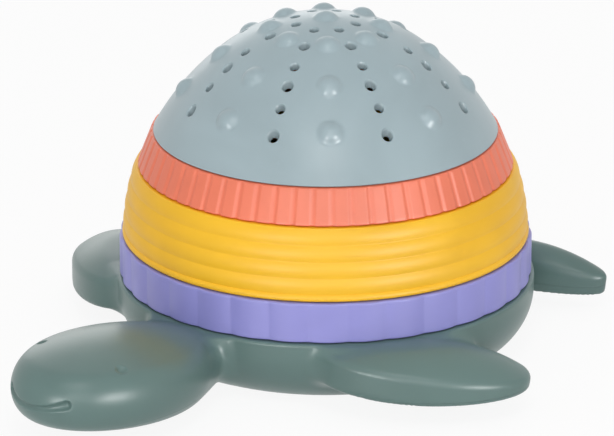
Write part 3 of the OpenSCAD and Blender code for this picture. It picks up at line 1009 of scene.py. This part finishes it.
def flipper_faces(points, flipper):
    """Distances to the crown, the oval side and the underside of a flipper or of its mirror image."""
    x = np.abs(points[:, 0]) - flipper.place[0]
    y = points[:, 1] - flipper.place[1]
    z = points[:, 2] - flipper.place[2]
    slim = flipper.tip_l / flipper.half_w
    a = x * cos(flipper.sweep) + y * sin(flipper.sweep)
    b = (y * cos(flipper.sweep) - x * sin(flipper.sweep)) * slim
    a, z = a * cos(flipper.lean) - z * sin(flipper.lean), a * sin(flipper.lean) + z * cos(flipper.lean)
    a = np.where(a < 0, a * flipper.tip_l / flipper.root_l, a)
    reach = np.hypot(a, b) + TINY
    spread = np.sqrt(a**2 + (b * slim) ** 2) / reach
    side = (reach - flipper.tip_l) / spread
    rise = z + flipper.crown_r
    ball = np.hypot(reach, rise)
    crown = (ball - flipper.crown_r) / np.hypot(reach / ball * spread, rise / ball)
    return crown, side, -flipper.thick - z


def flipper_form(points, flipper):
    """Distance to a domed oval flipper with a level floor."""
    crown, side, under = flipper_faces(points, flipper)
    form = round_max(round_max(crown, side, FLIPPER_EDGE_R), under, FLIPPER_UNDER_R)
    return round_max(form, flipper.floor_z - points[:, 2], FLIPPER_FLOOR_R)


def base_field(points, details):
    """Signed distance, near enough, to the moulded base."""
    reach = np.hypot(points[:, 0], points[:, 1])
    z = points[:, 2]
    over_rim = z - BASE_RIM
    u, v, w = head_axes(points)
    bowl = round_max(round_max(reach - BOWL_R, -z, BOWL_CORNER_R), over_rim, BOWL_RIM_R)
    neck = neck_form(points)
    front = round_max(flipper_form(points, FRONT_FLIPPER), over_rim, FRONT_TOP_R)
    rear = flipper_form(points, REAR_FLIPPER)
    blend = round_min(round_min(bowl, neck, details.neck_fillet), front, details.front_fillet)
    blend = round_max(blend, over_rim + BLEND_DROP, BLEND_EDGE_R)
    form = np.minimum(np.minimum(np.minimum(bowl, neck), front), blend)
    form = round_min(form, rear, details.rear_fillet)
    growth = np.clip((-over_rim - NAPE_DROP) / NAPE_GROWTH, 0, 1)
    nape_fillet = NAPE_LEAST_R + (details.neck_fillet - NAPE_LEAST_R) * growth
    form = round_min(form, head_form(u, v, w), nape_fillet)
    ring_room = np.maximum(reach - BOWL_R + RING_ROOM_IN, -over_rim)
    form = round_max(form, -ring_room, RING_ROOM_R)
    hollow = round_max(reach - BASE_BORE_R, BOWL_FLOOR - z, BOWL_INNER_R)
    form = round_max(form, -hollow, BOWL_MOUTH_R)
    collar = round_max(np.abs(reach - BASE_BORE_R - COLLAR_T / 2) - COLLAR_T / 2,
                       np.abs(over_rim) - COLLAR_H, COLLAR_TOP_R)
    collar = np.maximum(collar, -over_rim - SEAT_T)
    form = round_min(form, collar, COLLAR_FILLET)
    form = round_max(form, -smile_gap(u, v, w, details.smile_radius), SMILE_EDGE_R)
    return round_max(form, -eye_gap(u, v, w, details.eye_radius), EYE_EDGE_R)


def net_skin(field, low, high, step):
    """Quads around each grid edge that the skin crosses, with a point in each crossed cell."""
    axes = [np.arange(a, b + step, step) for a, b in zip(low, high)]
    shape = tuple(len(axis) for axis in axes)
    grid = np.stack(np.meshgrid(*axes, indexing="ij"), axis=-1)
    value = field(grid.reshape(-1, 3)).reshape(shape)
    inside = value < 0
    cells = tuple(n - 1 for n in shape)
    total = np.zeros((int(np.prod(cells)), 3))
    hits = np.zeros(len(total))
    loops = []
    for axis in range(3):
        a = np.take(inside, range(shape[axis] - 1), axis)
        b = np.take(inside, range(1, shape[axis]), axis)
        at = np.argwhere(a != b)
        second, third = (axis + 1) % 3, (axis + 2) % 3
        inner = ((at[:, second] > 0) & (at[:, second] < cells[second])
                 & (at[:, third] > 0) & (at[:, third] < cells[third]))
        at = at[inner]
        ahead = at.copy()
        ahead[:, axis] += 1
        start, end = value[tuple(at.T)], value[tuple(ahead.T)]
        share = (start / (start - end))[:, None]
        crossing = grid[tuple(at.T)] * (1 - share) + grid[tuple(ahead.T)] * share
        loop = []
        for back_second, back_third in ((1, 1), (0, 1), (0, 0), (1, 0)):
            cell = at.copy()
            cell[:, second] -= back_second
            cell[:, third] -= back_third
            flat = np.ravel_multi_index(tuple(cell.T), cells)
            np.add.at(total, flat, crossing)
            np.add.at(hits, flat, 1)
            loop.append(flat)
        loop = np.stack(loop, axis=1)
        outward = start < 0
        loops.append(np.where(outward[:, None], loop, loop[:, ::-1]))
    used = np.flatnonzero(hits)
    number = np.full(len(hits), -1)
    number[used] = np.arange(len(used))
    return total[used] / hits[used, None], number[np.concatenate(loops)]


def onto_skin(points, field, turns):
    """Moves points onto the skin along the field's slope, which is read at four corners round each."""
    ways = np.array(((1, -1, -1), (-1, -1, 1), (-1, 1, -1), (1, 1, 1)), float)
    for _ in range(turns):
        values = [field(points + way * SLOPE_REACH) for way in ways]
        slope = sum(value[:, None] * way for value, way in zip(values, ways)) / (4 * SLOPE_REACH)
        height = sum(values) / 4
        move = slope * (height / np.maximum((slope**2).sum(1), SLOPE_LEAST))[:, None]
        length = np.linalg.norm(move, axis=1, keepdims=True)
        points = points - move * np.minimum(1, MOVE_MOST / np.maximum(length, TINY))
    return points


def settle(points, edges, field):
    """Evens the points out along the skin."""
    count = np.bincount(edges.ravel(), minlength=len(points))[:, None]
    for _ in range(SETTLE_ROUNDS):
        total = np.stack([np.bincount(edges[:, 0], points[edges[:, 1], k], len(points))
                          + np.bincount(edges[:, 1], points[edges[:, 0], k], len(points))
                          for k in range(3)], axis=1)
        points = onto_skin((points + total / count) / 2, field, 1)
    return onto_skin(points, field, SKIN_TURNS)


def face_centres(work):
    """Middles of the mesh's faces."""
    return np.array([face.calc_center_median() for face in work.faces])


def near_rim(centres):
    """Which places lie close to the bowl's rim or its collar."""
    reach = np.hypot(centres[:, 0], centres[:, 1])
    in_wall = (reach > BASE_BORE_R - RIM_IN) & (reach < BOWL_R + RIM_OUT)
    return in_wall & (centres[:, 2] > BASE_RIM - RIM_DEEP)


def near_flipper_edge(centres):
    """Which places outside the bowl lie close to the edge round a flipper's crown."""
    close = np.zeros(len(centres), bool)
    for flipper in (FRONT_FLIPPER, REAR_FLIPPER):
        crown, side, _ = flipper_faces(centres, flipper)
        close |= np.maximum(np.abs(crown), np.abs(side)) < EDGE_NEAR
    return close & (np.hypot(centres[:, 0], centres[:, 1]) > BOWL_R)


def near_face(centres, details):
    """Which places lie close to the smile or an eye."""
    u, v, w = head_axes(centres)
    at_smile = smile_gap(u, v, w, details.smile_radius) < SMILE_NEAR
    return at_smile | (eye_gap(u, v, w, details.eye_radius) < EYE_NEAR)


def divide_faces(work, chosen, cuts):
    """Divides the edges of the chosen faces."""
    work.edges.index_update()
    faces = list(work.faces)
    edges = {edge.index: edge for i in np.flatnonzero(chosen) for edge in faces[i].edges}
    bmesh.ops.subdivide_edges(work, edges=list(edges.values()), cuts=cuts, use_grid_fill=True)


def moulded_skin(field, details):
    """The base's skin, finer at its rim, its flippers' edges and its face."""
    low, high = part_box("turtle_base")
    points, faces = net_skin(field, np.array(low) - SKIN_MARGIN, np.array(high) + SKIN_MARGIN, SKIN_STEP)
    made = mesh_object("turtle_base_moulding", onto_skin(points, field, SKIN_TURNS), faces)
    mesh = made.data
    work = bmesh.new()
    work.from_mesh(mesh)
    centres = face_centres(work)
    at_edges = near_rim(centres) | near_flipper_edge(centres)
    divide_faces(work, at_edges & ~near_face(centres, details), RIM_CUTS)
    divide_faces(work, near_face(face_centres(work), details), FACE_CUTS)
    work.to_mesh(mesh)
    work.free()
    points = np.empty(len(mesh.vertices) * 3)
    mesh.vertices.foreach_get("co", points)
    edges = np.empty(len(mesh.edges) * 2, dtype=np.int32)
    mesh.edges.foreach_get("vertices", edges)
    points = settle(points.reshape(-1, 3), edges.reshape(-1, 2), field)
    mesh.vertices.foreach_set("co", points.ravel())
    mesh.polygons.foreach_set("use_smooth", np.ones(len(mesh.polygons), dtype=bool))
    mesh.update()
    return made


class TURTLE_OT_base(bpy.types.Operator):
    """Moulds the turtle base with its head, flippers, bowl and collar"""

    bl_idname = "turtle_stack.base"
    bl_label = "Turtle base"

    def execute(self, context):
        details = context.scene.turtle_details
        made = moulded_skin(lambda points: base_field(points, details), details)
        colour = context.scene.turtle_colours.base
        made.data.materials.append(
            moulded_plastic("grey_green_plastic", colour, BASE_ROUGH, SATIN_IOR, parted=True))
        finish_piece(made, "base", "turtle_base")
        return {"FINISHED"}


class TURTLE_OT_rings(bpy.types.Operator):
    """Turns the three stacking rings: lobed, banded and ribbed"""

    bl_idname = "turtle_stack.rings"
    bl_label = "Stacking rings"

    def lower(self, colours):
        """The lavender ring with its upright lobes."""
        points, outer = rounded_outline(
            foot_corners(BASE_RIM, LOWER_BORE_R, LOBE_CREST_R, LOBE_VALLEY_R, LOBE_FOOT_ROUND)
            + [(LOBE_CREST_R, MIDDLE_SEAT, LOBE_TOP_ROUND, 0)]
            + collar_corners(MIDDLE_SEAT, MIDDLE_BORE_R, MIDDLE_BORE_R + MIDDLE_LEAN * COLLAR_H)
            + [(LOWER_BORE_R, MIDDLE_SEAT - SEAT_T, SEAT_EDGE_R, 0)], LOBE_MESH_STEP)
        outer[points[:, 0] > LOBE_ROOT_R] = 1
        material = moulded_plastic("lavender_plastic", colours.lower, RING_ROUGH)
        sizes = turning_sizes(LOBE_COUNT * LOBE_DIVISIONS, material) + [
            ("Lobes", "NodeSocketInt", LOBE_COUNT),
            ("Crest radius", "NodeSocketFloat", LOBE_CREST_R),
            ("Lobe radius", "NodeSocketFloat", LOBE_R)]
        tree = turning_tree("lobed_ring", sizes, lobe_relief)
        made = turned_piece("lower_ring_lobed", (points, outer), tree, sizes)
        finish_piece(made, "lower", "lower_ring")

    def middle(self, colours, details):
        """The yellow ring with its bands and lip."""
        steps = [i / BAND_DIVISIONS for i in range(BAND_DIVISIONS)]
        side = [(band_side(t), BAND_Z + (UPPER_SEAT - BAND_Z) * t, 0, 1) for t in steps]
        under_seat = UPPER_SEAT - SEAT_T
        section = rounded_outline(
            foot_corners(MIDDLE_SEAT, MIDDLE_BORE_R, LIP_FOOT_R, LIP_FOOT_R, BAND_EDGE_ROUND) + side
            + [(BAND_TOP_R, UPPER_SEAT, BAND_EDGE_ROUND, 0)]
            + collar_corners(UPPER_SEAT, UPPER_BORE_R, UPPER_BORE_R + UPPER_LEAN * COLLAR_H)
            + [(MIDDLE_BORE_R + MIDDLE_LEAN * (under_seat - MIDDLE_SEAT), under_seat, SEAT_EDGE_R, 0)],
            BAND_MESH_STEP)
        material = moulded_plastic("yellow_plastic", colours.middle, MIDDLE_ROUGH, SATIN_IOR)
        sizes = turning_sizes(BAND_AROUND, material) + [
            ("Band height", "NodeSocketFloat", BAND_STEP),
            ("Band bulge", "NodeSocketFloat", details.band_bulge),
            ("Lip bulge", "NodeSocketFloat", LIP_BULGE)]
        tree = turning_tree("banded_ring", sizes, band_relief)
        made = turned_piece("middle_ring_banded", section, tree, sizes)
        finish_piece(made, "middle", "middle_ring")

    def upper(self, colours, details):
        """The coral ring with its ribs and grooves, which run over its edges."""
        under_seat = DOME_SEAT - SEAT_T
        points, outer = rounded_outline(
            foot_corners(UPPER_SEAT, UPPER_BORE_R, RIB_FOOT_R, RIB_FOOT_R - GROOVE_DEEP, RIB_FOOT_ROUND)
            + [(RIB_TOP_R, DOME_SEAT, RIB_TOP_ROUND, 0)]
            + collar_corners(DOME_SEAT, dome_bore(0), dome_bore(COLLAR_H))
            + [(UPPER_BORE_R + UPPER_LEAN * (under_seat - UPPER_SEAT), under_seat, SEAT_EDGE_R, 0)],
            RIB_MESH_STEP)
        r, z = points.T
        outer[(r > RIB_TOP_R - GROOVE_REACH) & (np.abs(z - DOME_SEAT) < LEVEL_NEAR)] = 1
        outer[(r > RIB_FOOT_R - GROOVE_REACH) & (z < UPPER_SEAT + SEAM_H + LEVEL_NEAR)] = 1
        material = moulded_plastic("coral_plastic", colours.upper, RING_ROUGH)
        sizes = turning_sizes(RIB_COUNT * RIB_DIVISIONS, material) + [
            ("Ribs", "NodeSocketInt", RIB_COUNT),
            ("Groove width", "NodeSocketFloat", details.groove_width),
            ("Groove depth", "NodeSocketFloat", GROOVE_DEEP)]
        tree = turning_tree("ribbed_ring", sizes, rib_relief)
        made = turned_piece("upper_ring_ribbed", (points, outer), tree, sizes)
        finish_piece(made, "upper", "upper_ring")

    def execute(self, context):
        colours = context.scene.turtle_colours
        details = context.scene.turtle_details
        self.lower(colours)
        self.middle(colours, details)
        self.upper(colours, details)
        return {"FINISHED"}


class TURTLE_OT_dome(bpy.types.Operator):
    """Turns the dome, raises its bumps and pierces its drain holes"""

    bl_idname = "turtle_stack.dome"
    bl_label = "Pierced dome"

    def section(self):
        """The dome's wall from its top outside, round its eased foot, to its top inside."""
        foot_z = DOME_SEAT + SEAM_H
        top_z = DOME_SEAT + DOME_H
        flat_z = top_z - WALL - DOME_FLAT
        eased = DOME_EDGE_R / DOME_SIDE_R
        low = asin((foot_z - SIDE_Z) / DOME_SIDE_R) + eased
        turns = np.concatenate((np.linspace(pi / 2, CAP_ANGLE, CAP_RINGS),
                                np.linspace(CAP_ANGLE, low, SIDE_RINGS)[1:]))
        outside = [(0.0, top_z)] + [dome_point(t, 0) for t in turns[1:]]
        foot = [(DOME_FOOT_R - DOME_EDGE_R * FOOT_TURN_IN, foot_z + DOME_EDGE_R * FOOT_TURN_UP),
                (DOME_FOOT_R - DOME_EDGE_R * FOOT_FLAT_IN, foot_z),
                (DOME_FOOT_R - SEAM_IN, foot_z),
                (DOME_FOOT_R - SEAM_IN, DOME_SEAT),
                (dome_bore(0) + DOME_EDGE_R, DOME_SEAT)]
        low = asin((DOME_SEAT - SIDE_Z) / (DOME_SIDE_R - WALL)) + eased
        high = asin((flat_z - CAP_Z) / (CAP_R - WALL))
        turns = np.concatenate((np.linspace(low, CAP_ANGLE, INNER_SIDE_RINGS)[:-1],
                                np.linspace(CAP_ANGLE, high, INNER_CAP_RINGS)))
        inside = [dome_point(t, WALL) for t in turns] + [(0.0, flat_z)]
        points = np.array(outside + foot + inside)
        return points, (np.arange(len(points)) < len(outside)).astype(float)

    def execute(self, context):
        details = context.scene.turtle_details
        colour = context.scene.turtle_colours.dome
        material = moulded_plastic("blue_grey_plastic", colour, DOME_ROUGH, pierced=True)
        rows = [(f"{label} {i}", "NodeSocketFloat", angle)
                for label, angles in (("Bump row", BUMP_ROWS), ("Large row", LARGE_ROWS),
                                      ("Small row", SMALL_ROWS))
                for i, angle in enumerate(angles, 1)]
        sizes = turning_sizes(DOME_AROUND, material, closed=0) + rows + [
            ("Columns", "NodeSocketInt", COLUMN_COUNT),
            ("Bump radius", "NodeSocketFloat", details.bump_radius),
            ("Bump height", "NodeSocketFloat", details.bump_height),
            ("Large hole", "NodeSocketFloat", details.large_hole),
            ("Small hole", "NodeSocketFloat", details.small_hole),
            ("Hole bore", "NodeSocketFloat", details.hole_bore)]
        tree = turning_tree("pierced_dome", sizes, bump_relief, pierce)
        made = turned_piece("shell_dome_pierced", self.section(), tree, sizes)
        finish_piece(made, "dome", "shell_dome")
        return {"FINISHED"}


def seen_rays(graph):
    """1 for what the camera and reflections see, 0 for light that falls on a surface."""
    rays = graph.node("ShaderNodeLightPath")
    camera, gloss, through = (Term(graph, rays.outputs[f"Is {kind} Ray"])
                              for kind in ("Camera", "Glossy", "Transmission"))
    return camera.at_least(gloss).at_least(through)


class TURTLE_OT_stage(bpy.types.Operator):
    """Sets the pale floor, the soft studio light and the camera"""

    bl_idname = "turtle_stack.stage"
    bl_label = "Stage"

    def floor(self):
        """A wide pale disc that looks almost white and keeps the toy's shadow."""
        turns = [2 * pi * i / FLOOR_SIDES for i in range(FLOOR_SIDES)]
        points = [(0, 0, 0)] + [(FLOOR_R * cos(t), FLOOR_R * sin(t), 0) for t in turns]
        faces = [(0, 1 + i, 1 + (i + 1) % FLOOR_SIDES) for i in range(FLOOR_SIDES)]
        made = mesh_object("floor", points, faces)
        surface = bpy.data.materials.new("pale_floor")
        surface.use_nodes = True
        graph = Graph(surface.node_tree)
        shader = surface.node_tree.nodes["Principled BSDF"]
        shader.inputs["Base Color"].default_value = (FLOOR_GREY, FLOOR_GREY, FLOOR_GREY, 1)
        shader.inputs["Roughness"].default_value = FLOOR_ROUGH
        white = graph.term("ShaderNodeEmission", 0, None, {"Color": (1, 1, 1, 1), "Strength": 1.0})
        blend = graph.term("ShaderNodeMixShader", 0, None,
                           {0: seen_rays(graph) * FLOOR_WHITE, 1: Term(graph, shader.outputs[0]), 2: white})
        graph.feed(surface.node_tree.nodes["Material Output"].inputs["Surface"], blend)
        made.data.materials.append(surface)

    def surround(self, sky):
        """An even white surround, at full strength where it is seen."""
        world = bpy.data.worlds.new("even_surround")
        world.use_nodes = True
        back = world.node_tree.nodes["Background"]
        back.inputs["Color"].default_value = (1, 1, 1, 1)
        graph = Graph(world.node_tree)
        graph.feed(back.inputs["Strength"], sky + seen_rays(graph) * (1 - sky))
        bpy.context.scene.world = world

    def lamp(self, name, place, size, power, in_gloss_only=False):
        """A round lamp that faces the toy and isn't seen itself."""
        light = bpy.data.lights.new(name, "AREA")
        light.shape = "DISK"
        light.size = size
        light.energy = power
        made = bpy.data.objects.new(name, light)
        made.location = place
        made.rotation_euler = (Vector(LAMP_AIM) - Vector(place)).to_track_quat("-Z", "Y").to_euler()
        made.visible_diffuse = not in_gloss_only
        made.visible_camera = False
        bpy.context.scene.collection.objects.link(made)

    def camera(self, studio):
        """A long lens that looks down on the toy from its front left."""
        lens = bpy.data.cameras.new("camera")
        lens.sensor_fit = "HORIZONTAL"
        lens.sensor_width = SENSOR_W
        lens.lens = studio.lens
        lens.shift_x = CAMERA_SHIFT
        lens.clip_end = VIEW_END
        way = Vector((sin(studio.azimuth) * cos(studio.elevation),
                      -cos(studio.azimuth) * cos(studio.elevation), sin(studio.elevation)))
        made = bpy.data.objects.new("camera", lens)
        made.location = Vector(CAMERA_AIM) + way * studio.distance
        made.rotation_euler = (-way).to_track_quat("-Z", "Y").to_euler()
        bpy.context.scene.collection.objects.link(made)
        bpy.context.scene.camera = made

    def execute(self, context):
        studio = context.scene.turtle_studio
        context.scene.view_settings.view_transform = "Standard"
        self.surround(studio.sky)
        self.floor()
        self.lamp("front_lamp", *FRONT_LAMP, studio.front)
        self.lamp("high_lamp", *HIGH_LAMP, studio.high)
        for name, place, size, share in PANELS:
            self.lamp(name, place, size, studio.panel * share, in_gloss_only=True)
        self.camera(studio)
        return {"FINISHED"}


class TURTLE_PT_panel(bpy.types.Panel):
    """Lists the toy's pieces, colours and sizes"""

    bl_idname = "TURTLE_PT_panel"
    bl_label = "Turtle Stacking Toy"
    bl_space_type = "VIEW_3D"
    bl_region_type = "UI"
    bl_category = "Turtle"

    def draw(self, context):
        for made in OPERATORS:
            self.layout.operator(made.bl_idname)
        for label, group in GROUPS.items():
            box = self.layout.box()
            for name in group.__annotations__:
                box.prop(getattr(context.scene, label), name)


GROUPS = {"turtle_colours": PlasticColours, "turtle_details": MouldDetails, "turtle_studio": StudioSettings}
OPERATORS = (TURTLE_OT_base, TURTLE_OT_rings, TURTLE_OT_dome, TURTLE_OT_stage)


def register():
    for made in (*GROUPS.values(), *OPERATORS, TURTLE_PT_panel):
        bpy.utils.register_class(made)
    for name, group in GROUPS.items():
        setattr(bpy.types.Scene, name, bpy.props.PointerProperty(type=group))


def unregister():
    for name in GROUPS:
        delattr(bpy.types.Scene, name)
    for made in reversed((*GROUPS.values(), *OPERATORS, TURTLE_PT_panel)):
        bpy.utils.unregister_class(made)


def main():
    register()
    bpy.ops.turtle_stack.stage()
    bpy.ops.turtle_stack.base()
    bpy.ops.turtle_stack.rings()
    bpy.ops.turtle_stack.dome()


if __name__ == "__main__":
    main()
